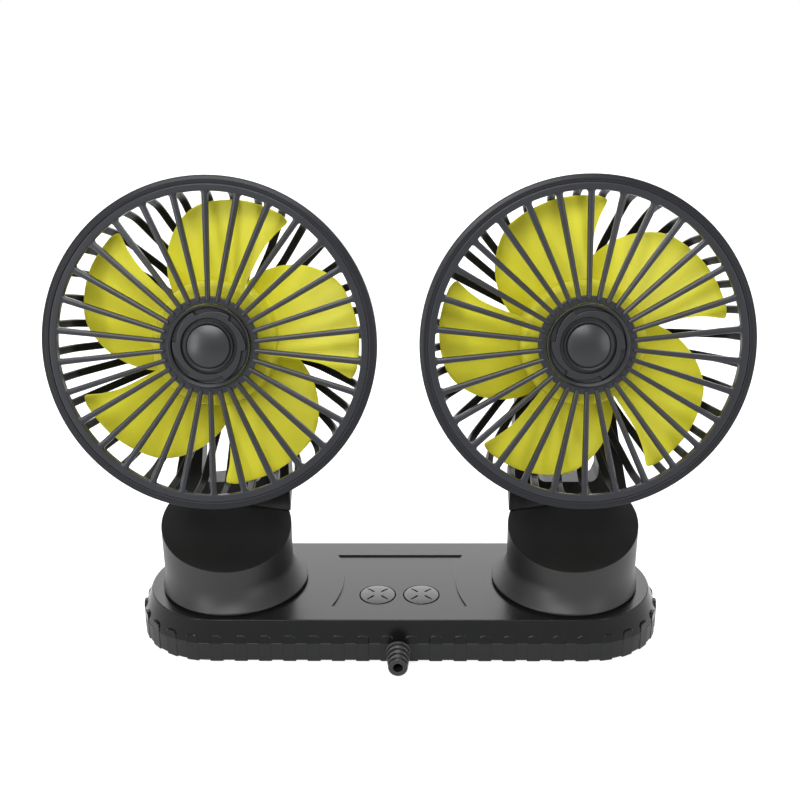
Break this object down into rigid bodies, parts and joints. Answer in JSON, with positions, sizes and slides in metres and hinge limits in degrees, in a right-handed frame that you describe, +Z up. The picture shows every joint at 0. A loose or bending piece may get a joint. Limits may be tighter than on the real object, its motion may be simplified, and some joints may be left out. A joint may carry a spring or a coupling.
{
  "type": "twin desk fan",
  "caption": "Desk fan with a pair of caged round heads on swivelling, tilting turrets that share one long rounded base with push buttons.",
  "frame": {"origin": "middle of the grip pad's underside, on the surface the fan stands on, midway between the two turrets", "axes": "+Z up, front of the fan towards -Y, +X to the right as seen from the front, along the base's length"},
  "size_m": [0.2692, 0.0937, 0.1878],
  "materials": {
    "base_shell": "satin charcoal, lighter on top",
    "base_tray": "satin charcoal band with dark grooves between the tabs",
    "grip_pad": "matt",
    "circuit_board": "green solder mask",
    "switch_left": "matt",
    "switch_right": "matt",
    "cable_boot": "soft satin",
    "cover_screw_1": "zinc grey",
    "cover_screw_2": "zinc grey",
    "cover_screw_3": "zinc grey",
    "cover_screw_4": "zinc grey",
    "turret_left": "matt black",
    "swivel_ring_left": "plain",
    "yoke_left": "matt black",
    "tilt_pin_left_left": "matt black",
    "tilt_pin_left_right": "matt black",
    "motor_housing_left": "matt black",
    "rear_cage_left": "matt black",
    "motor_can_left": "drawn steel",
    "front_guard_left": "satin charcoal",
    "hub_ring_left": "satin charcoal",
    "hub_cap_left": "satin charcoal",
    "impeller_left": "olive yellow, satin",
    "motor_shaft_left": "ground",
    "button_left": "satin",
    "turret_right": "matt black",
    "swivel_ring_right": "plain",
    "yoke_right": "matt black",
    "tilt_pin_right_left": "matt black",
    "tilt_pin_right_right": "matt black",
    "motor_housing_right": "matt black",
    "rear_cage_right": "matt black",
    "motor_can_right": "drawn steel",
    "front_guard_right": "satin charcoal",
    "hub_ring_right": "satin charcoal",
    "hub_cap_right": "satin charcoal",
    "impeller_right": "olive yellow, satin",
    "motor_shaft_right": "ground",
    "button_right": "satin"
  },
  "bodies": {
    "base": {"base_shell": "base_shell", "base_tray": "base_tray", "grip_pad": "grip_pad", "circuit_board": "circuit_board", "switch_left": "switch_left", "switch_right": "switch_right", "cable_boot": "cable_boot", "cover_screw_1": "cover_screw_1", "cover_screw_2": "cover_screw_2", "cover_screw_3": "cover_screw_3", "cover_screw_4": "cover_screw_4"},
    "turret_body_left": {"turret_left": "turret_left", "swivel_ring_left": "swivel_ring_left", "yoke_left": "yoke_left", "tilt_pin_left_left": "tilt_pin_left_left", "tilt_pin_left_right": "tilt_pin_left_right"},
    "head_left": {"motor_housing_left": "motor_housing_left", "rear_cage_left": "rear_cage_left", "motor_can_left": "motor_can_left", "front_guard_left": "front_guard_left", "hub_ring_left": "hub_ring_left", "hub_cap_left": "hub_cap_left"},
    "fan_left": {"impeller_left": "impeller_left", "motor_shaft_left": "motor_shaft_left"},
    "push_button_left": {"button_left": "button_left"},
    "turret_body_right": {"turret_right": "turret_right", "swivel_ring_right": "swivel_ring_right", "yoke_right": "yoke_right", "tilt_pin_right_left": "tilt_pin_right_left", "tilt_pin_right_right": "tilt_pin_right_right"},
    "head_right": {"motor_housing_right": "motor_housing_right", "rear_cage_right": "rear_cage_right", "motor_can_right": "motor_can_right", "front_guard_right": "front_guard_right", "hub_ring_right": "hub_ring_right", "hub_cap_right": "hub_cap_right"},
    "fan_right": {"impeller_right": "impeller_right", "motor_shaft_right": "motor_shaft_right"},
    "push_button_right": {"button_right": "button_right"}
  },
  "joints": [
    {"name": "turret_swivel_left", "type": "hinge", "parent": "base", "child": "turret_body_left", "pos_m": [-0.06875, 0, 0.0198], "axis": [0, 0, 1], "range_deg": [-170, 170]},
    {"name": "head_tilt_left", "type": "hinge", "parent": "turret_body_left", "child": "head_left", "pos_m": [-0.07125, 0.04161, 0.11464], "axis": [-1, 0, 0], "range_deg": [-10, 35]},
    {"name": "fan_spin_left", "type": "hinge", "parent": "head_left", "child": "fan_left", "pos_m": [-0.07125, -0.0112, 0.1259], "axis": [0, -0.978, 0.2086], "continuous": true},
    {"name": "button_press_left", "type": "slide", "parent": "base", "child": "push_button_left", "axis": [0, 0, -1], "range_m": [0, 0.001], "stiffness_N_per_m": 300, "springref_m": -0.001},
    {"name": "turret_swivel_right", "type": "hinge", "parent": "base", "child": "turret_body_right", "pos_m": [0.06875, 0, 0.0198], "axis": [0, 0, 1], "range_deg": [-170, 170]},
    {"name": "head_tilt_right", "type": "hinge", "parent": "turret_body_right", "child": "head_right", "pos_m": [0.07125, 0.04161, 0.11464], "axis": [-1, 0, 0], "range_deg": [-10, 35]},
    {"name": "fan_spin_right", "type": "hinge", "parent": "head_right", "child": "fan_right", "pos_m": [0.07125, -0.0112, 0.1259], "axis": [0, -0.978, 0.2086], "continuous": true},
    {"name": "button_press_right", "type": "slide", "parent": "base", "child": "push_button_right", "axis": [0, 0, -1], "range_m": [0, 0.001], "stiffness_N_per_m": 300, "springref_m": -0.001}
  ]
}
